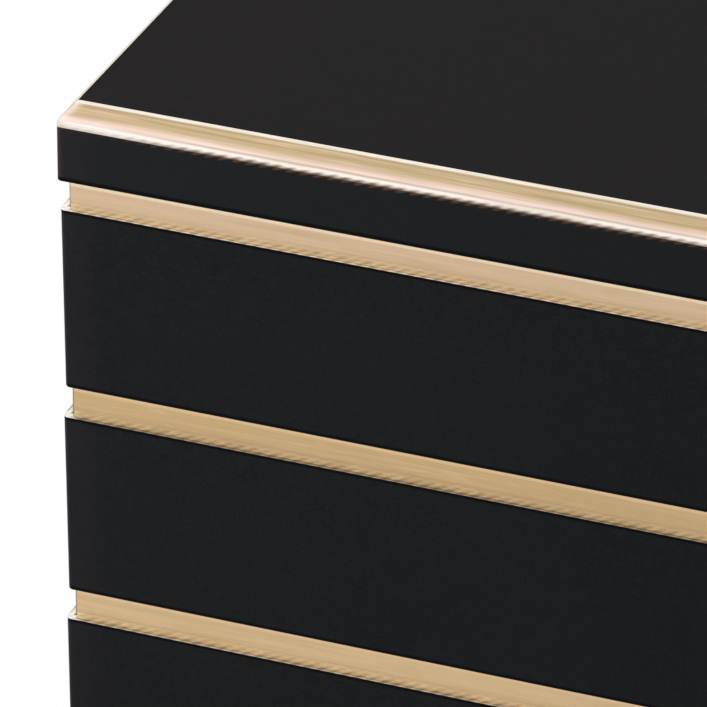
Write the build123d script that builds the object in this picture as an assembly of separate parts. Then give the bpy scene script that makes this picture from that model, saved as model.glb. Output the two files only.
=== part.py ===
from build123d import *
import os

# A square stacking box in three tiers with a lift-off lid, all in millimetres.
# +Z is up and the front faces -Y. The origin is on the table, under the middle of the box.
# Every tier is four mitred wall boards round a grooved floor. A gold neck stands on the walls
# and carries the tier above, and feet under each floor drop into the neck below.

# Outside of the tiers
tier_names = ("bottom", "middle", "top")
tier_width = 195.9          # across the black walls at their upper edge
tier_pitch = 58.0           # from one tier's resting edge to the next
band_height = 8.05          # gold that shows between two black walls
wall_taper = 0.4            # how far each wall leans in towards its lower edge
corner_radius = 1.2         # upright corners of the walls and of the lid
wall_foot_radius = 0.8      # lower outer edge of the walls

# Walls and floor
wall_thickness = 6.2        # at the upper edge
inside_corner_radius = 2.0  # lacquer filled inside corners
floor_thickness = 4.0
floor_height = 2.5          # underside of the floor above the walls' lower edge
floor_groove_depth = 2.5    # groove in the walls that holds the floor's edge
floor_edge_gap = 0.2        # free space at the bottom of that groove
glue_gap = 0.05             # glue line round tongues, floors and splines

# Gold neck on the walls
neck_step = 1.7             # neck face behind the walls' upper outer edge
ledge_edge = 0.35           # upright rim of the ledge at the neck's foot
ledge_rise = 0.5            # height that the ledge climbs from the walls to the neck
neck_corner_radius = 0.8
neck_edge_radius = 0.3      # eased upper edges of the neck
tongue_thickness = 2.0      # tongue under the neck, glued into the walls
tongue_depth = 4.0

# Feet under each floor, which find their place inside the neck below
foot_drop = 3.0             # below the walls' lower edge
foot_width = 8.0
foot_clearance = 0.4        # between a foot and the neck round it
foot_chamfer = 0.8

# Splines hidden in the mitres
spline_thickness = 1.5
spline_width = 5.0          # across the mitre
spline_setback = 4.2        # spline's middle from each outer face
spline_margin = 3.0         # solid wood left above and below a spline

# Lid
lid_overhang = 0.55         # lid side beyond a wall's upper edge
lid_side_height = 14.85
lid_foot_radius = 0.5       # lower outer edge of the lid
locator_width = 6.0         # strips inside the lid that drop into the top neck

# Gold moulding round the lid, as its width inwards and its height from the lid's side
moulding_width = 4.3
moulding_height = 6.2
moulding_setback = 0.1      # moulding's foot behind the lid's side
nose_width = 1.6            # round lower part of the moulding
nose_height = 3.4
nose_bulge = 0.25
lip_width = 0.7             # rolled upper edge beside the panel
lip_height = 0.65
lip_bulge = 0.12
hollow_depth = 0.12         # shallow hollow between the nose and the lip

# Panel inside the moulding
panel_drop = 0.15           # panel's face below the top of the lip
panel_corner_radius = 0.3
panel_tongue_thickness = 2.0
panel_tongue_depth = 1.4
panel_tongue_height = 0.6   # underside of the tongue above the panel's underside

# Cutting tools run this far past what they cut
overrun = 5.0

# Sizes that follow from the ones above
wall_height = tier_pitch - band_height
inside_width = tier_width - 2 * wall_thickness
neck_width = tier_width - 2 * neck_step
neck_thickness = wall_thickness - neck_step
lid_width = tier_width + 2 * lid_overhang
lid_base = foot_drop + len(tier_names) * tier_pitch
foot_outer_width = inside_width - 2 * foot_clearance
panel_width = lid_width - 2 * moulding_width
quarter_turn = 90
side_names = ("front", "right", "back", "left")


def square_block(width, radius, low, high):
    """Upright block with a square outline and rounded corners."""
    outline = Plane.XY.offset(low) * RectangleRounded(width, width, radius)
    return extrude(outline, amount=high - low)


def square_taper(low_width, low_radius, high_width, high_radius, low, high):
    """Block whose square outline changes evenly from its lower to its upper end."""
    low_outline = Plane.XY.offset(low) * RectangleRounded(low_width, low_width, low_radius)
    high_outline = Plane.XY.offset(high) * RectangleRounded(high_width, high_width, high_radius)
    return loft([low_outline, high_outline], ruled=True)


def front_quarter(ring):
    """The front piece of a square ring, cut at its two mitres."""
    reach = lid_width
    triangle = Polygon((0, 0), (-reach, -reach), (reach, -reach), align=None)
    wedge = extrude(triangle, amount=lid_base, both=True)
    return ring & wedge


def corner_splines(outer_width, low, high, gap):
    """Four upright strips across the mitres, grown by a gap when they are slots."""
    middle = outer_width / 2 - spline_setback
    strip = Box(spline_width + 2 * gap, spline_thickness + 2 * gap, high - low + 2 * gap)
    corner_strip = Pos(-middle, -middle, (low + high) / 2) * Rot(Z=-quarter_turn / 2) * strip
    return [Rot(Z=turn * quarter_turn) * corner_strip for turn in range(len(side_names))]


def wall_spline_ends():
    """Heights between which a spline fits in a wall."""
    low = floor_height + floor_thickness + spline_margin
    high = wall_height - tongue_depth - spline_margin
    return low, high


def lid_spline_ends():
    """Heights between which a spline fits in the lid's side."""
    return spline_margin, lid_side_height - spline_margin


def neck_tongue(low, high, gap):
    """Ring under the neck, or the groove for it when it is grown by a gap."""
    outer_width = neck_width - neck_thickness + tongue_thickness
    inner_width = outer_width - 2 * tongue_thickness
    outer = square_block(outer_width + 2 * gap, neck_corner_radius, low, high)
    inner = square_block(inner_width - 2 * gap, neck_corner_radius, low - overrun, high + overrun)
    return outer - inner


def wall_front():
    """Wall board with its floor groove, neck groove and spline slots."""
    foot_outline_width = tier_width - 2 * wall_taper
    body = square_taper(foot_outline_width, corner_radius, tier_width, corner_radius, 0, wall_height)
    foot_edges = body.faces().sort_by(Axis.Z)[0].edges()
    body = fillet(foot_edges, wall_foot_radius)
    body -= square_block(inside_width, inside_corner_radius, -overrun, wall_height + overrun)
    groove_width = inside_width + 2 * floor_groove_depth
    groove_low = floor_height - glue_gap
    groove_high = floor_height + floor_thickness + glue_gap
    body -= square_block(groove_width, inside_corner_radius, groove_low, groove_high)
    body -= neck_tongue(wall_height - tongue_depth - glue_gap, wall_height + overrun, glue_gap)
    low, high = wall_spline_ends()
    for slot in corner_splines(tier_width, low, high, glue_gap):
        body -= slot
    return front_quarter(body)


def neck_front():
    """Gold rail with its sloping ledge and the tongue under it."""
    ledge_low = wall_height + ledge_edge
    ledge_high = wall_height + ledge_rise
    rail = square_block(neck_width, neck_corner_radius, ledge_high, tier_pitch)
    rail += square_taper(tier_width, corner_radius, neck_width, neck_corner_radius, ledge_low, ledge_high)
    rail += square_block(tier_width, corner_radius, wall_height, ledge_low)
    rail -= square_block(inside_width, inside_corner_radius, wall_height - overrun, tier_pitch + overrun)
    top_edges = rail.faces().sort_by(Axis.Z)[-1].edges()
    rail = fillet(top_edges, neck_edge_radius)
    rail += neck_tongue(wall_height - tongue_depth, wall_height, 0)
    return front_quarter(rail)


def floor_panel():
    """Floor board, with its edge in the walls' groove."""
    width = inside_width + 2 * (floor_groove_depth - floor_edge_gap)
    return square_block(width, inside_corner_radius, floor_height, floor_height + floor_thickness)


def locating_ring(width, low, high):
    """Square frame that drops into a neck, with its lower outer edge chamfered."""
    ring = square_block(foot_outer_width, inside_corner_radius, low, high)
    ring = chamfer(ring.faces().sort_by(Axis.Z)[0].edges(), foot_chamfer)
    inner_width = foot_outer_width - 2 * width
    return ring - square_block(inner_width, inside_corner_radius, low - overrun, high + overrun)


def foot_front():
    """Foot strip glued under the floor."""
    return front_quarter(locating_ring(foot_width, -foot_drop, floor_height))


def wall_splines():
    """The four splines of a tier."""
    low, high = wall_spline_ends()
    return Compound(corner_splines(tier_width, low, high, 0))


def lid_side_front():
    """Side board of the lid, with its spline slots."""
    body = square_block(lid_width, corner_radius, 0, lid_side_height)
    body = fillet(body.faces().sort_by(Axis.Z)[0].edges(), lid_foot_radius)
    body -= square_block(inside_width, inside_corner_radius, -overrun, lid_side_height + overrun)
    low, high = lid_spline_ends()
    for slot in corner_splines(lid_width, low, high, glue_gap):
        body -= slot
    return front_quarter(body)


def lid_moulding_front():
    """Gold moulding: a round nose, a shallow hollow and a rolled lip round the panel."""
    outer = moulding_setback - lid_width / 2
    inner = moulding_width - lid_width / 2
    top = lid_side_height + moulding_height
    foot = (outer, lid_side_height)
    nose_top = (nose_width - lid_width / 2, lid_side_height + nose_height)
    lip_foot = (inner - lip_width, top - lip_height)
    lip_top = (inner, top)
    inner_foot = (inner, lid_side_height)
    outline = [
        SagittaArc(foot, nose_top, nose_bulge),
        SagittaArc(nose_top, lip_foot, -hollow_depth),
        SagittaArc(lip_foot, lip_top, lip_bulge),
        Line(lip_top, inner_foot),
        Line(inner_foot, foot),
    ]
    section = Plane.YZ * make_face(outline)
    length = extrude(section, amount=lid_width, both=True)
    groove_low = lid_side_height + panel_tongue_height - glue_gap
    groove_high = lid_side_height + panel_tongue_height + panel_tongue_thickness + glue_gap
    groove_width = panel_width + 2 * (panel_tongue_depth + glue_gap)
    length -= square_block(groove_width, panel_corner_radius, groove_low, groove_high)
    envelope = square_block(lid_width, corner_radius, lid_side_height - overrun, top + overrun)
    return front_quarter(length & envelope)


def lid_panel():
    """Top board of the lid, with a tongue that runs into the moulding."""
    top = lid_side_height + moulding_height - panel_drop
    board = square_block(panel_width, panel_corner_radius, lid_side_height, top)
    tongue_low = lid_side_height + panel_tongue_height
    tongue_width = panel_width + 2 * panel_tongue_depth
    board += square_block(tongue_width, panel_corner_radius, tongue_low, tongue_low + panel_tongue_thickness)
    return board


def lid_locator_front():
    """Strip inside the lid that drops into the top neck."""
    return front_quarter(locating_ring(locator_width, -foot_drop, lid_side_height))


def lid_splines():
    """The four splines of the lid."""
    low, high = lid_spline_ends()
    return Compound(corner_splines(lid_width, low, high, 0))


def write_part(node, shape, height):
    """Write one sub-part, lifted to the height where it stands in the stack."""
    export_step(Pos(0, 0, height) * shape, f"parts/{node}.step")


def write_sides(prefix, front_piece, height):
    """Write a front piece and its three turned copies."""
    for turn, side in enumerate(side_names):
        write_part(f"{prefix}_{side}", Rot(Z=turn * quarter_turn) * front_piece, height)


def write_tiers():
    """Write every piece of the three tiers."""
    wall = wall_front()
    neck = neck_front()
    foot = foot_front()
    floor = floor_panel()
    splines = wall_splines()
    for level, name in enumerate(tier_names):
        height = foot_drop + level * tier_pitch
        write_sides(f"{name}_wall", wall, height)
        write_sides(f"{name}_neck", neck, height)
        write_sides(f"{name}_foot", foot, height)
        write_part(f"{name}_floor", floor, height)
        write_part(f"{name}_corner_splines", splines, height)


def write_lid():
    """Write every piece of the lid."""
    write_sides("lid_side", lid_side_front(), lid_base)
    write_sides("lid_moulding", lid_moulding_front(), lid_base)
    write_sides("lid_locator", lid_locator_front(), lid_base)
    write_part("lid_panel", lid_panel(), lid_base)
    write_part("lid_corner_splines", lid_splines(), lid_base)


os.makedirs("parts", exist_ok=True)
write_tiers()
write_lid()
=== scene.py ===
import math
import bpy
from mathutils import Matrix, Vector


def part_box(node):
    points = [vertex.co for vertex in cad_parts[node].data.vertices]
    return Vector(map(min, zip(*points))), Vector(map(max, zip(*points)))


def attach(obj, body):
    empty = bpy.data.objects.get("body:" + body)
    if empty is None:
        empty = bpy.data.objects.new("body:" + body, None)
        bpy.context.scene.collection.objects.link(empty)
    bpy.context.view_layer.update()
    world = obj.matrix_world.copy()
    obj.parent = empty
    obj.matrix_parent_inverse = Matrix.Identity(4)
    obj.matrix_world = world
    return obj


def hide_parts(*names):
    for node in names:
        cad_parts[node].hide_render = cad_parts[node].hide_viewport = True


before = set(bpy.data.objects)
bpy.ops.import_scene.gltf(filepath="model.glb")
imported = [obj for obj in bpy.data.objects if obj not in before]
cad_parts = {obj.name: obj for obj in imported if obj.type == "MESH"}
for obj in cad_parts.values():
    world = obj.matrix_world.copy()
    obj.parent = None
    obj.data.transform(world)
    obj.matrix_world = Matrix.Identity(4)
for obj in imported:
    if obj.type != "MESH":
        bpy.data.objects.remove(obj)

# A black lacquered stacking box with gold necks and a gold lid moulding, in metres, in the CAD's frame.

for spare in ("Cube", "Light", "Camera"):
    if spare in bpy.data.objects:
        bpy.data.objects.remove(bpy.data.objects[spare])
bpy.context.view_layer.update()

MM = 0.001
side_names = ("front", "right", "back", "left")

# Sizes read from the model
wall_low, wall_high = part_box("bottom_wall_front")
moulding_low, moulding_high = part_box("lid_moulding_front")
lid_half = -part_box("lid_side_front")[0].y
lid_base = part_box("lid_side_front")[0].z
lid_side_top = moulding_low.z
tier_half = -wall_low.y
first_rest_height = wall_low.z
wall_height = wall_high.z - wall_low.z
tier_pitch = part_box("middle_wall_front")[0].z - wall_low.z

# Sizes that repeat the model's
inside_half = 91.75 * MM
corner_radius = 1.2 * MM
floor_mid_height = 4.5 * MM
neck_half = tier_half - 1.7 * MM
neck_foot = wall_height + 0.5 * MM

# How far apart the gold's fine slanting marks are, on the necks' ledges and at the moulding's foot
ledge_spacing = 3.35 * MM
foot_spacing = 3.55 * MM

# Distances from the middle of a side over which the moulding's painted reflections, and the painted
# reflection under it, change towards its ends
change_start, change_end = 55 * MM, 90 * MM

VERMILION = (0.480, 0.044, 0.021)
WALL_BLACK = (0.0062, 0.0066, 0.0075)
PANEL_BLACK = (0.0050, 0.0042, 0.0046)


def shade(colour, factor):
    """A colour made lighter or darker."""
    return tuple(part * factor for part in colour)


def place_camera():
    """The camera of the photograph, as fitted to the box's edges."""
    azimuth, elevation, roll = (math.radians(a) for a in (21.541, 28.534, 0.204))
    distance = 1987.64 * MM
    focal_pixels = 8125.98
    image_side = 707
    corner_pixel = (56.158, 180.833)
    corner = Vector((-lid_half, -lid_half, lid_base))
    sa, ca = math.sin(azimuth), math.cos(azimuth)
    se, ce = math.sin(elevation), math.cos(elevation)
    forward = Vector((-sa * ce, ca * ce, -se))
    right = Vector((ca, sa, 0))
    up = Vector((-sa * se, ca * se, ce))
    right, up = (
        math.cos(roll) * right + math.sin(roll) * up,
        -math.sin(roll) * right + math.cos(roll) * up,
    )
    across = (corner_pixel[0] - image_side / 2) * distance / focal_pixels
    upward = -(corner_pixel[1] - image_side / 2) * distance / focal_pixels
    centre = corner - forward * distance - right * across - up * upward
    data = bpy.data.cameras.new("camera")
    data.sensor_width = 36
    data.lens = focal_pixels / image_side * data.sensor_width
    data.clip_start = 0.05
    data.clip_end = 60
    camera = bpy.data.objects.new("camera", data)
    camera.matrix_world = Matrix((
        (right.x, up.x, -forward.x, centre.x),
        (right.y, up.y, -forward.y, centre.y),
        (right.z, up.z, -forward.z, centre.z),
        (0, 0, 0, 1),
    ))
    bpy.context.scene.collection.objects.link(camera)
    bpy.context.scene.camera = camera


class Tree:
    """Shorthands for one material's or world's nodes."""

    def __init__(self, owner):
        owner.use_nodes = True
        self.nodes = owner.node_tree.nodes
        self.links = owner.node_tree.links
        self.nodes.clear()

    def put(self, socket, value):
        """Link an output to a socket, or set the socket's own value."""
        if isinstance(value, bpy.types.NodeSocket):
            self.links.new(value, socket)
        elif isinstance(value, tuple) and len(value) == 3 and len(socket.default_value) == 4:
            socket.default_value = (*value, 1)
        else:
            socket.default_value = value

    def add(self, kind, inputs=None, **settings):
        node = self.nodes.new(kind)
        for name, value in settings.items():
            setattr(node, name, value)
        for name, value in (inputs or {}).items():
            self.put(node.inputs[name], value)
        return node

    def math(self, operation, a, b=0.0, clamp=False):
        node = self.add("ShaderNodeMath", operation=operation, use_clamp=clamp)
        self.put(node.inputs[0], a)
        self.put(node.inputs[1], b)
        return node.outputs[0]

    def times(self, a, b):
        return self.math("MULTIPLY", a, b)

    def plus(self, a, b):
        return self.math("ADD", a, b)

    def minus(self, a, b, clamp=False):
        return self.math("SUBTRACT", a, b, clamp)

    def blend(self, a, b, share_of_b):
        return self.plus(self.times(a, 1 - share_of_b), self.times(b, share_of_b))

    def step(self, value, low, high):
        """0 below low and 1 above high, smooth between; with low the larger, 1 below high and 0 above low."""
        node = self.add("ShaderNodeMapRange", interpolation_type="SMOOTHSTEP")
        if low > high:
            self.put(node.inputs["To Min"], 1.0)
            self.put(node.inputs["To Max"], 0.0)
            low, high = high, low
        self.put(node.inputs["Value"], value)
        self.put(node.inputs["From Min"], low)
        self.put(node.inputs["From Max"], high)
        return node.outputs[0]

    def between(self, value, low, high, edge):
        """1 between low and high, with soft edges."""
        above_low = self.step(value, low - edge, low + edge)
        below_high = self.step(value, high + edge, high - edge)
        return self.times(above_low, below_high)

    def range(self, value, low, high):
        """A 0 to 1 value spread over low to high."""
        node = self.add("ShaderNodeMapRange")
        self.put(node.inputs["Value"], value)
        self.put(node.inputs["To Min"], low)
        self.put(node.inputs["To Max"], high)
        return node.outputs[0]

    def mix(self, where, a, b):
        """Colour a, turned into colour b where the mask says."""
        node = self.add("ShaderNodeMix", data_type="RGBA")
        self.put(node.inputs[0], where)
        self.put(node.inputs[6], a)
        self.put(node.inputs[7], b)
        return node.outputs[2]

    def tint(self, colour, where, share, other):
        """A colour, turned towards another by a share where the mask says."""
        return self.mix(self.times(where, share), colour, other)

    def noise(self, vector, scale=1.0, detail=2.0, rough=0.5):
        inputs = {"Vector": vector, "Scale": scale, "Detail": detail, "Roughness": rough}
        return self.add("ShaderNodeTexNoise", inputs).outputs["Fac"]

    def vector(self, x, y, z):
        node = self.add("ShaderNodeCombineXYZ")
        for socket, value in zip(node.inputs, (x, y, z)):
            self.put(socket, value)
        return node.outputs[0]

    def stretched(self, parts, scales):
        """A vector of three parts, each times its own scale."""
        return self.vector(*(self.times(part, scale) for part, scale in zip(parts, scales)))

    def bump(self, height, strength, distance):
        inputs = {"Height": height, "Strength": strength, "Distance": distance}
        return self.add("ShaderNodeBump", inputs).outputs["Normal"]

    def surface(self, inputs):
        shader = self.add("ShaderNodeBsdfPrincipled", inputs)
        out = self.add("ShaderNodeOutputMaterial")
        self.links.new(shader.outputs[0], out.inputs["Surface"])


class Spot:
    """Where a point lies on the box: its height z, how far out from the axis, and how far along its side."""

    def __init__(self, tree):
        self.vector = tree.add("ShaderNodeTexCoord").outputs["Object"]
        parts = tree.add("ShaderNodeSeparateXYZ", {"Vector": self.vector}).outputs
        self.x, self.y, self.z = parts[0], parts[1], parts[2]
        from_middle_x = tree.math("ABSOLUTE", self.x)
        from_middle_y = tree.math("ABSOLUTE", self.y)
        self.out = tree.math("MAXIMUM", from_middle_x, from_middle_y)
        self.from_middle = tree.math("MINIMUM", from_middle_x, from_middle_y)
        self.from_mitre = tree.minus(self.out, self.from_middle)
        side = tree.add("ShaderNodeMix", data_type="FLOAT")
        tree.put(side.inputs[0], tree.math("GREATER_THAN", from_middle_x, from_middle_y))
        tree.put(side.inputs[2], self.x)
        tree.put(side.inputs[3], self.y)
        self.along = side.outputs[0]
        self.on_rail = (self.along, self.out, self.z)


def new_material(name):
    material = bpy.data.materials.new(name)
    tree = Tree(material)
    return material, tree, Spot(tree)


def inner_faces(tree, spot):
    return tree.step(spot.out, inside_half + 0.35 * MM, inside_half + 0.10 * MM)


def floor_upper_side(tree, spot):
    level = tree.math("MODULO", tree.minus(spot.z, first_rest_height), tier_pitch)
    return tree.step(level, floor_mid_height - 0.1 * MM, floor_mid_height + 0.1 * MM)


def above_the_floor(tree, spot):
    return tree.times(inner_faces(tree, spot), floor_upper_side(tree, spot))


def panel_underside(tree, spot):
    return tree.step(spot.z, lid_side_top + 0.15 * MM, lid_side_top + 0.05 * MM)


def brushed(tree, spot, length_scale, cross_scale):
    """Streaks that run along a rail."""
    return tree.noise(tree.stretched(spot.on_rail, (length_scale, cross_scale, cross_scale)))


def wavering(tree, spot, scale):
    """A noise that changes only along a rail."""
    return tree.noise(tree.vector(tree.times(spot.along, scale), 0.0, 0.0), detail=3.0)


def hatched(tree, spot, spacing):
    """Fine slanting marks, evenly spaced along a rail, as waves from 0 to 1."""
    lean_out, lean_up = 0.82, 2.08
    lean = tree.minus(tree.times(spot.out, lean_out), tree.times(spot.z, lean_up))
    turns = tree.math("DIVIDE", tree.plus(spot.along, lean), spacing)
    wave = tree.math("SINE", tree.times(turns, 2 * math.pi))
    return tree.plus(tree.times(wave, 0.5), 0.5)


def mitre_line(tree, spot):
    """A hairline where two rails meet."""
    return tree.times(tree.step(spot.from_mitre, 0.22 * MM, 0.10 * MM), 0.60)


def moulding_reflection_line(tree, spot):
    """A broken brown line on the lid's side under the moulding, a painted reflection of the gold moulding,
    fainter towards the corners.
    """
    ragged = tree.blend(wavering(tree, spot, 240.0), hatched(tree, spot, foot_spacing), 0.65)
    depth = tree.plus(tree.minus(lid_side_top, spot.z), tree.range(ragged, 0.75 * MM, -0.28 * MM))
    upper_part = tree.step(spot.z, lid_base, lid_side_top - 2 * MM)
    line = tree.times(tree.step(depth, 1.05 * MM, 0.15 * MM), upper_part)
    to_end = tree.step(spot.from_middle, change_start, change_end)
    line = tree.times(line, tree.range(to_end, 1.0, 0.15))
    outer_face = tree.step(spot.out, lid_half - 0.3 * MM, lid_half - 0.1 * MM)
    return tree.times(line, outer_face)


def lacquer(name, black, vermilion_where=None, gloss=0.42, specular=0.042, lid_painted_light_share=0.28):
    """Satin black, cloudy and mottled, with painted light and shade: lighter towards the corners, a highlight
    on the rounded corners, a lighter lid, shade lines along the edges and a reflection under the moulding;
    vermilion where the mask says.
    """
    material, tree, spot = new_material(name)
    cloud = tree.noise(spot.vector, 14.0, 3.0)
    mottle = tree.noise(spot.vector, 330.0, rough=0.6)
    skin = tree.noise(spot.vector, 620.0)
    speck = tree.noise(spot.vector, 1300.0)
    wipe = brushed(tree, spot, 30.0, 700.0)

    colour = tree.mix(cloud, shade(black, 0.74), shade(black, 1.30))
    # Painted light: the lid's side is painted lighter than the tiers, standing in for the light falling off
    # down the box
    on_lid = tree.step(spot.z, lid_base - 0.2 * MM, lid_base + 0.2 * MM)
    colour = tree.tint(colour, on_lid, lid_painted_light_share, shade(black, 2.0))
    colour = tree.tint(colour, tree.step(mottle, 0.40, 0.66), 0.35, shade(black, 1.5))
    colour = tree.tint(colour, tree.step(speck, 0.44, 0.74), 0.50, shade(black, 2.0))

    # Painted light: the black is lighter towards each corner, with a painted highlight on the rounded corner
    # itself
    corner_painted_sheen = tree.step(spot.from_middle, lid_half - 14 * MM, lid_half - 3 * MM)
    colour = tree.tint(colour, corner_painted_sheen, 0.16, (0.024, 0.018, 0.026))
    corner_painted_highlight = tree.step(spot.from_middle, lid_half - 2.2 * MM, lid_half - 0.9 * MM)
    colour = tree.tint(colour, corner_painted_highlight, 0.60, (0.030, 0.021, 0.026))

    # Painted shade: the black is darker along each wall's lower edge and just under the gold ledge, as shadow
    # lines where black meets gold
    climb = tree.math("MODULO", tree.minus(spot.z, first_rest_height - 1 * MM), tier_pitch)
    lower_edge_shade = tree.step(climb, 2.6 * MM, 2.0 * MM)
    upper_edge_shade = tree.step(climb, wall_height - 0.1 * MM, wall_height + 0.4 * MM)
    colour = tree.tint(colour, tree.math("MAXIMUM", lower_edge_shade, upper_edge_shade), 0.85, shade(black, 0.1))
    # Painted reflection of the gold moulding on the black just under it
    colour = tree.mix(moulding_reflection_line(tree, spot), colour, (0.075, 0.038, 0.020))

    if vermilion_where:
        red = tree.mix(cloud, shade(VERMILION, 0.80), shade(VERMILION, 1.14))
        red = tree.tint(red, tree.step(mottle, 0.42, 0.66), 0.35, shade(VERMILION, 1.25))
        red = tree.tint(red, tree.step(speck, 0.46, 0.70), 0.30, shade(VERMILION, 0.72))
        colour = tree.mix(vermilion_where(tree, spot), colour, red)

    skin_height = tree.plus(skin, tree.times(speck, 0.25))
    tree.surface({
        "Base Color": colour,
        "Roughness": tree.range(tree.blend(cloud, wipe, 0.4), gloss - 0.07, gloss + 0.07),
        "Specular IOR Level": specular,
        "Normal": tree.bump(skin_height, 0.25, 0.00003),
    })
    return material


def neck_gold(name):
    """Brushed gold of the necks: polished ledge with painted highlights, a painted highlight along the upper
    edge, painted glints and shade, and a painted shade of its own on each tier.
    """
    material, tree, spot = new_material(name)
    counted_from = 20 * MM
    counted_height = tree.minus(spot.z, first_rest_height + counted_from)
    rise = tree.plus(tree.math("MODULO", counted_height, tier_pitch), counted_from)
    level = tree.math("DIVIDE", counted_height, tier_pitch)
    top_tier = tree.step(level, 1.75, 2.2)
    middle_tier = tree.between(level, 1.1, 1.75, 0.1)

    # Painted light: each tier's gold gets its own shade, standing in for how differently each tier is lit and
    # what it reflects
    def painted_shade_by_tier(bottom, middle, top):
        return tree.mix(middle_tier, tree.mix(top_tier, bottom, top), middle)

    fine = brushed(tree, spot, 30.0, 3000.0)
    broad = brushed(tree, spot, 22.0, 650.0)
    drift = tree.noise(spot.vector, 28.0)
    patch = tree.noise(tree.stretched(spot.on_rail, (75.0, 300.0, 420.0)))
    colour = painted_shade_by_tier((0.590, 0.412, 0.222), (0.495, 0.335, 0.158), (0.590, 0.428, 0.278))
    colour = tree.tint(colour, drift, 0.25, (0.680, 0.490, 0.310))
    colour = tree.tint(colour, tree.step(patch, 0.54, 0.70), 0.34, (0.680, 0.430, 0.290))
    colour = tree.tint(colour, tree.step(patch, 0.46, 0.30), 0.34, (0.520, 0.400, 0.180))
    colour = tree.tint(colour, tree.step(fine, 0.45, 0.72), 0.22, (0.780, 0.610, 0.420))
    colour = tree.tint(colour, tree.step(broad, 0.50, 0.34), 0.22, (0.440, 0.310, 0.160))

    # Painted highlight: a lighter line along the top of each neck's visible face
    upper_highlight_from = tree.range(top_tier, neck_foot + 6.10 * MM, neck_foot + 5.45 * MM)
    upper_highlight = tree.step(tree.minus(rise, upper_highlight_from), 0.0, 0.45 * MM)
    upper_highlight_gold = tree.mix(top_tier, (0.700, 0.500, 0.290), (0.860, 0.690, 0.500))
    colour = tree.tint(colour, upper_highlight, 0.75, upper_highlight_gold)

    uneven = tree.step(brushed(tree, spot, 210.0, 420.0), 0.38, 0.58)
    marks = tree.blend(uneven, hatched(tree, spot, ledge_spacing), 0.75)
    on_ledge = tree.step(spot.out, neck_half + 0.10 * MM, neck_half + 0.40 * MM)
    # Painted highlight: a lighter band of dashed glints at the foot of each neck's upright face
    foot = tree.step(rise, neck_foot + 1.2 * MM, neck_foot + 0.4 * MM)
    foot = tree.times(tree.minus(foot, on_ledge, clamp=True), tree.range(marks, 1.0, 0.42))
    foot_glint_gold = painted_shade_by_tier((0.870, 0.705, 0.460), (0.790, 0.630, 0.400), (0.820, 0.655, 0.440))
    colour = tree.mix(foot, colour, foot_glint_gold)

    # Painted highlight: the upward-facing ledge is painted pale, broken by darker slanting dashes, with paler
    # painted highlights on its inner part and, on the top tier, along its outer edge
    polished_highlight = tree.mix(top_tier, (0.790, 0.725, 0.620), (0.920, 0.850, 0.700))
    dulled = tree.mix(top_tier, (0.395, 0.315, 0.205), (0.510, 0.410, 0.250))
    ledge_gold = tree.tint(polished_highlight, marks, 0.95, dulled)
    inner_ledge = tree.step(spot.out, tier_half - 0.7 * MM, tier_half - 1.4 * MM)
    inner_share = tree.range(middle_tier, tree.range(top_tier, 0.36, 0.0), 0.18)
    ledge_gold = tree.tint(ledge_gold, inner_ledge, inner_share, (0.860, 0.745, 0.560))
    outer_ledge = tree.between(spot.out, tier_half - 0.75 * MM, tier_half - 0.30 * MM, 0.12 * MM)
    ledge_gold = tree.tint(ledge_gold, tree.times(outer_ledge, top_tier), 0.55, (1.000, 0.930, 0.800))
    colour = tree.mix(on_ledge, colour, ledge_gold)

    # Painted glints and painted shade in dashes along the ledge's rounded outer rim
    on_rim = tree.step(spot.out, tier_half - 0.45 * MM, tier_half - 0.15 * MM)
    rim_glint = painted_shade_by_tier((0.560, 0.440, 0.290), (0.340, 0.260, 0.165), (0.720, 0.560, 0.380))
    rim_shade = painted_shade_by_tier((0.250, 0.195, 0.130), (0.170, 0.130, 0.080), (0.330, 0.250, 0.170))
    colour = tree.mix(on_rim, colour, tree.mix(marks, rim_glint, rim_shade))

    # Painted highlight: the ledge near each mitre is painted near white
    ledge_corner_highlight = tree.times(tree.step(spot.from_mitre, 4.5 * MM, 1.0 * MM), on_ledge)
    colour = tree.tint(colour, ledge_corner_highlight, 0.75, (1.000, 0.960, 0.900))
    # Painted shade: the neck's upright corners are darker brown
    upright_corner = tree.step(spot.from_middle, neck_half - 0.75 * MM, neck_half - 0.40 * MM)
    upright_corner = tree.minus(upright_corner, on_ledge, clamp=True)
    corner_shade_brown = tree.mix(top_tier, (0.190, 0.140, 0.110), (0.330, 0.240, 0.200))
    colour = tree.tint(colour, upright_corner, 0.80, corner_shade_brown)
    colour = tree.mix(mitre_line(tree, spot), colour, (0.300, 0.210, 0.120))

    inside = inner_faces(tree, spot)
    tree.surface({
        "Base Color": tree.mix(inside, colour, VERMILION),
        "Metallic": tree.range(inside, 0.85, 0.0),
        "Roughness": tree.minus(tree.range(fine, 0.34, 0.46), tree.times(on_ledge, 0.14)),
        "Normal": tree.bump(tree.plus(fine, broad), 0.2, 0.00002),
    })
    return material


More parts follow.
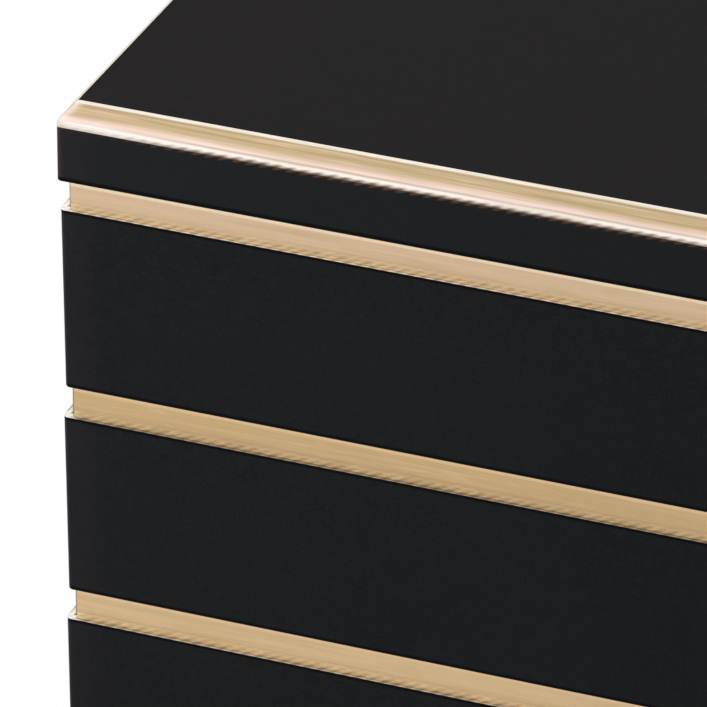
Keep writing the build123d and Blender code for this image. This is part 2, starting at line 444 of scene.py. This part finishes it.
def moulding_gold(name):
    """Polished and brushed gold of the lid's moulding, with painted reflections, highlights and shade in
    bands up its profile.
    """
    material, tree, spot = new_material(name)
    # The bands are painted reflections, highlights and shade lines, measured from the foot (0) to the lip (1)
    # as the photograph shows the profile, in pixels
    pixels_per_mm_inwards, pixels_per_mm_up, pixels_high = 2.1, 3.59, 31.7
    inset = tree.math("DIVIDE", tree.minus(lid_half, spot.out), MM)
    rise = tree.math("DIVIDE", tree.minus(spot.z, lid_side_top), MM)
    even_climb = tree.plus(
        tree.times(inset, pixels_per_mm_inwards / pixels_high),
        tree.times(rise, pixels_per_mm_up / pixels_high),
    )
    climb = tree.plus(even_climb, tree.range(wavering(tree, spot, 70.0), -0.020, 0.020))
    to_end = tree.step(spot.from_middle, change_start, change_end)
    olive_climb = tree.plus(climb, tree.range(to_end, 0.0, -0.10))
    olive_climb = tree.plus(olive_climb, tree.times(tree.math("MAXIMUM", spot.along, 0.0), 1.9))

    # Painted reflections in bands: a highlight on the lip, a shade line under it, an olive band, pink and
    # paler pink bands, a thin mauve shade line, and a near white highlight on the nose, wider towards the
    # ends
    lip = tree.step(climb, 0.868, 0.906)
    colour = tree.mix(lip, (0.560, 0.415, 0.255), (0.870, 0.800, 0.700))
    under_lip_shade = tree.between(climb, 0.805, 0.855, 0.02)
    colour = tree.tint(colour, under_lip_shade, 0.80, (0.420, 0.300, 0.170))
    olive_reflection = tree.between(olive_climb, 0.63, 0.70, 0.05)
    colour = tree.tint(colour, olive_reflection, 0.70, (0.390, 0.290, 0.110))
    pink_reflection = tree.step(climb, 0.52, 0.33)
    colour = tree.mix(pink_reflection, colour, (0.850, 0.645, 0.560))
    palest_pink_reflection = tree.between(climb, 0.28, 0.33, 0.03)
    colour = tree.tint(colour, palest_pink_reflection, 0.35, (0.890, 0.710, 0.640))
    mauve_shade_line = tree.between(climb, 0.212, 0.262, 0.015)
    colour = tree.tint(colour, mauve_shade_line, 0.85, (0.590, 0.470, 0.430))
    nose = tree.step(climb, 0.212, 0.172)
    colour = tree.mix(nose, colour, (0.985, 0.895, 0.815))
    wider_highlight_at_end = tree.times(tree.step(climb, 0.31, 0.19), to_end)
    colour = tree.mix(wider_highlight_at_end, colour, (0.960, 0.900, 0.840))
    # Painted highlight across each mitre where the moulding turns the corner
    mitre_highlight = tree.step(spot.from_mitre, 3.2 * MM, 0.1 * MM)
    colour = tree.tint(colour, mitre_highlight, 0.80, (0.940, 0.790, 0.740))

    # Painted reflection: a ragged brown line at the moulding's foot, in slanting dashes, fainter towards the
    # ends
    slant = tree.plus(tree.times(even_climb, 9.0), tree.times(spot.along, 108.0))
    uneven = tree.noise(tree.vector(slant, tree.times(spot.along, 70.0), 0.0), detail=3.0)
    marks = hatched(tree, spot, foot_spacing)
    ragged = tree.blend(tree.step(uneven, 0.28, 0.72), marks, 0.55)
    foot = tree.step(tree.plus(climb, tree.range(ragged, -0.050, 0.010)), 0.115, -0.005)
    foot_reflection_brown = tree.mix(marks, (0.070, 0.034, 0.020), (0.230, 0.150, 0.100))
    colour = tree.tint(colour, foot, tree.range(to_end, 0.9, 0.25), foot_reflection_brown)

    fine = brushed(tree, spot, 34.0, 3200.0)
    broad = brushed(tree, spot, 42.0, 900.0)
    hue = brushed(tree, spot, 60.0, 1500.0)
    body = tree.times(tree.between(climb, 0.40, 0.83, 0.06), 0.40)
    colour = tree.tint(colour, tree.step(hue, 0.53, 0.66), body, (0.800, 0.500, 0.320))
    colour = tree.tint(colour, tree.step(hue, 0.47, 0.34), body, (0.480, 0.400, 0.160))
    colour = tree.tint(colour, tree.step(broad, 0.56, 0.36), 0.24, (0.520, 0.390, 0.200))
    colour = tree.tint(colour, tree.step(fine, 0.50, 0.72), 0.24, (0.980, 0.880, 0.760))
    colour = tree.mix(mitre_line(tree, spot), colour, (0.380, 0.270, 0.170))
    tree.surface({
        "Base Color": colour,
        "Metallic": 0.85,
        "Roughness": tree.range(fine, 0.26, 0.40),
        "Normal": tree.bump(tree.plus(fine, broad), 0.2, 0.00002),
    })
    return material


def bare_wood(name):
    """Plain hardwood of the hidden splines, with upright grain."""
    material, tree, spot = new_material(name)
    grain = tree.noise(tree.stretched((spot.x, spot.y, spot.z), (900.0, 900.0, 40.0)), detail=4.0)
    tree.surface({
        "Base Color": tree.mix(grain, (0.42, 0.27, 0.15), (0.64, 0.46, 0.28)),
        "Roughness": tree.range(grain, 0.55, 0.75),
        "Normal": tree.bump(grain, 0.3, 0.0001),
    })
    return material


def arc(start, end, bulge, steps):
    """Points from start to end along an arc that leaves the chord by bulge, on its left when positive."""
    chord = Vector(end) - Vector(start)
    half = chord.length / 2
    radius = (half * half + bulge * bulge) / (2 * abs(bulge))
    side = 1 if bulge > 0 else -1
    normal = Vector((-chord.y, chord.x)).normalized() * side
    middle = (Vector(start) + Vector(end)) / 2
    centre = middle + normal * (abs(bulge) - radius)
    first = Vector(start) - centre
    turn = -side * 2 * math.asin(half / radius)
    points = []
    for i in range(steps + 1):
        a = turn * i / steps
        c, s = math.cos(a), math.sin(a)
        points.append(centre + Vector((first.x * c - first.y * s, first.x * s + first.y * c)))
    return points


def moulding_profile():
    """The moulding's outline as inset and height in millimetres, from its foot up to the panel and down."""
    top = (moulding_high.z - moulding_low.z) / MM
    panel_edge = 4.3
    foot, nose_top, lip_foot, lip_top = (0.1, 0.0), (1.6, 3.4), (3.6, top - 0.65), (panel_edge, top)
    nose = arc(foot, nose_top, 0.25, 14)
    hollow = arc(nose_top, lip_foot, -0.12, 12)
    lip = arc(lip_foot, lip_top, 0.12, 8)
    return nose + hollow[1:] + lip[1:] + [Vector((panel_edge, 0.0))]


def stations():
    """Places along a moulding from -1 to 1, close together at its mitred and rounded ends."""
    near_end = [-1 + 0.0008 * i for i in range(16)]
    far_apart = [-0.98 + 1.96 * i / 48 for i in range(49)]
    return near_end + far_apart + [-share for share in reversed(near_end)]


def moulding(side, material):
    """One mitred moulding with the model's profile, in fine steps."""
    profile = moulding_profile()
    shares = stations()
    count = len(profile)
    eased = corner_radius * (1 - math.sqrt(0.5))
    straight = lid_half - corner_radius
    turn = Matrix.Rotation(side_names.index(side) * math.pi / 2, 3, "Z")
    vertices = []
    for share in shares:
        for point in profile:
            inset = point.x * MM
            end = lid_half - max(inset, eased)
            x = share * end
            y = lid_half - inset
            if abs(x) > straight:
                y = min(y, straight + math.sqrt(corner_radius ** 2 - (abs(x) - straight) ** 2))
            vertices.append(turn @ Vector((x, -y, lid_side_top + point.y * MM)))
    faces = []
    for j in range(len(shares) - 1):
        for i in range(count):
            k = (i + 1) % count
            faces.append((j * count + i, (j + 1) * count + i, (j + 1) * count + k, j * count + k))
    faces.append(tuple(range(count)))
    faces.append(tuple((len(shares) - 1) * count + i for i in reversed(range(count))))
    mesh = bpy.data.meshes.new(f"gilt_moulding_{side}")
    mesh.from_pydata(vertices, [], faces)
    mesh.validate()
    mesh.update()
    piece = bpy.data.objects.new(f"gilt_moulding_{side}", mesh)
    bpy.context.scene.collection.objects.link(piece)
    mesh.materials.append(material)
    for face in mesh.polygons:
        face.use_smooth = True
    mesh.set_sharp_from_angle(angle=math.radians(35))
    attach(piece, "lid")
    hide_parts(f"lid_moulding_{side}")


def seen_directly(tree):
    """Two values, 1 for what the camera sees, and 1 for what a reflection or a transparent body sees."""
    path = tree.add("ShaderNodeLightPath")
    by_gloss = tree.math("MAXIMUM", path.outputs["Is Glossy Ray"], path.outputs["Is Transmission Ray"])
    return path.outputs["Is Camera Ray"], by_gloss


def make_floor():
    """A wide pale floor that keeps the box's soft shadow and is nearly white to the eye."""
    reach = 14.0
    low = -0.05 * MM
    mesh = bpy.data.meshes.new("floor")
    corners = [(-reach, -reach, low), (reach, -reach, low), (reach, reach, low), (-reach, reach, low)]
    mesh.from_pydata(corners, [], [(0, 1, 2, 3)])
    floor = bpy.data.objects.new("floor", mesh)
    bpy.context.scene.collection.objects.link(floor)
    material = bpy.data.materials.new("floor_paper")
    tree = Tree(material)
    paper = tree.add("ShaderNodeBsdfDiffuse", {"Color": (0.95, 0.95, 0.95)})
    glow = tree.add("ShaderNodeEmission", {"Color": (1.0, 1.0, 1.0), "Strength": 1.0})
    by_camera, by_gloss = seen_directly(tree)
    glow_share = tree.math("MAXIMUM", tree.times(by_camera, 0.86), tree.times(by_gloss, 0.60))
    blend = tree.add("ShaderNodeMixShader")
    tree.put(blend.inputs[0], glow_share)
    tree.links.new(paper.outputs[0], blend.inputs[1])
    tree.links.new(glow.outputs[0], blend.inputs[2])
    open_below = tree.add("ShaderNodeMixShader")
    tree.put(open_below.inputs[0], tree.add("ShaderNodeNewGeometry").outputs["Backfacing"])
    tree.links.new(blend.outputs[0], open_below.inputs[1])
    tree.links.new(tree.add("ShaderNodeBsdfTransparent").outputs[0], open_below.inputs[2])
    out = tree.add("ShaderNodeOutputMaterial")
    tree.links.new(open_below.outputs[0], out.inputs["Surface"])
    mesh.materials.append(material)


def make_world():
    """White to the eye and in reflections, and soft and even as light."""
    world = bpy.data.worlds.new("studio")
    bpy.context.scene.world = world
    tree = Tree(world)
    by_camera, by_gloss = seen_directly(tree)
    strength = tree.range(tree.math("MAXIMUM", by_camera, by_gloss), 0.46, 1.0)
    sky = tree.add("ShaderNodeBackground", {"Color": (1.0, 1.0, 1.0), "Strength": strength})
    out = tree.add("ShaderNodeOutputWorld")
    tree.links.new(sky.outputs[0], out.inputs["Surface"])


def lamp(name, place, size, power):
    """A square softbox aimed at the middle of the box; gloss mirrors the white studio behind it instead."""
    data = bpy.data.lights.new(name, "AREA")
    data.shape = "SQUARE"
    data.size = size
    data.energy = power
    light = bpy.data.objects.new(name, data)
    light.location = place
    box_middle = Vector((0, 0, 0.1))
    aim = box_middle - Vector(place)
    light.rotation_mode = "QUATERNION"
    light.rotation_quaternion = aim.to_track_quat("-Z", "Y")
    light.visible_camera = False
    light.visible_glossy = False
    bpy.context.scene.collection.objects.link(light)


place_camera()
make_floor()
make_world()
lamp("overhead", (-0.3, 0.3, 1.6), 2.0, 13.0)
lamp("side", (-1.7, 0.3, 1.2), 0.9, 3.0)
lamp("window", (-0.33, -0.45, 0.46), 0.4, 2.9)

finish_of = {
    "wall_lacquer": lacquer("lacquer_wall", WALL_BLACK, above_the_floor),
    "panel_lacquer": lacquer(
        "lacquer_panel", PANEL_BLACK, panel_underside, gloss=0.45, specular=0.026, lid_painted_light_share=0.0,
    ),
    "floor_lacquer": lacquer("lacquer_floor", WALL_BLACK, floor_upper_side),
    "foot_lacquer": lacquer("lacquer_foot", WALL_BLACK),
    "gold_lacquer": neck_gold("gold_neck"),
    "bare_wood": bare_wood("wood_bare"),
}
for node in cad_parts.values():
    for place in node.material_slots:
        place.material = finish_of[place.material.name]
gold_of_moulding = moulding_gold("gold_moulding")
for side in side_names:
    moulding(side, gold_of_moulding)

bpy.context.scene.view_settings.view_transform = "Standard"
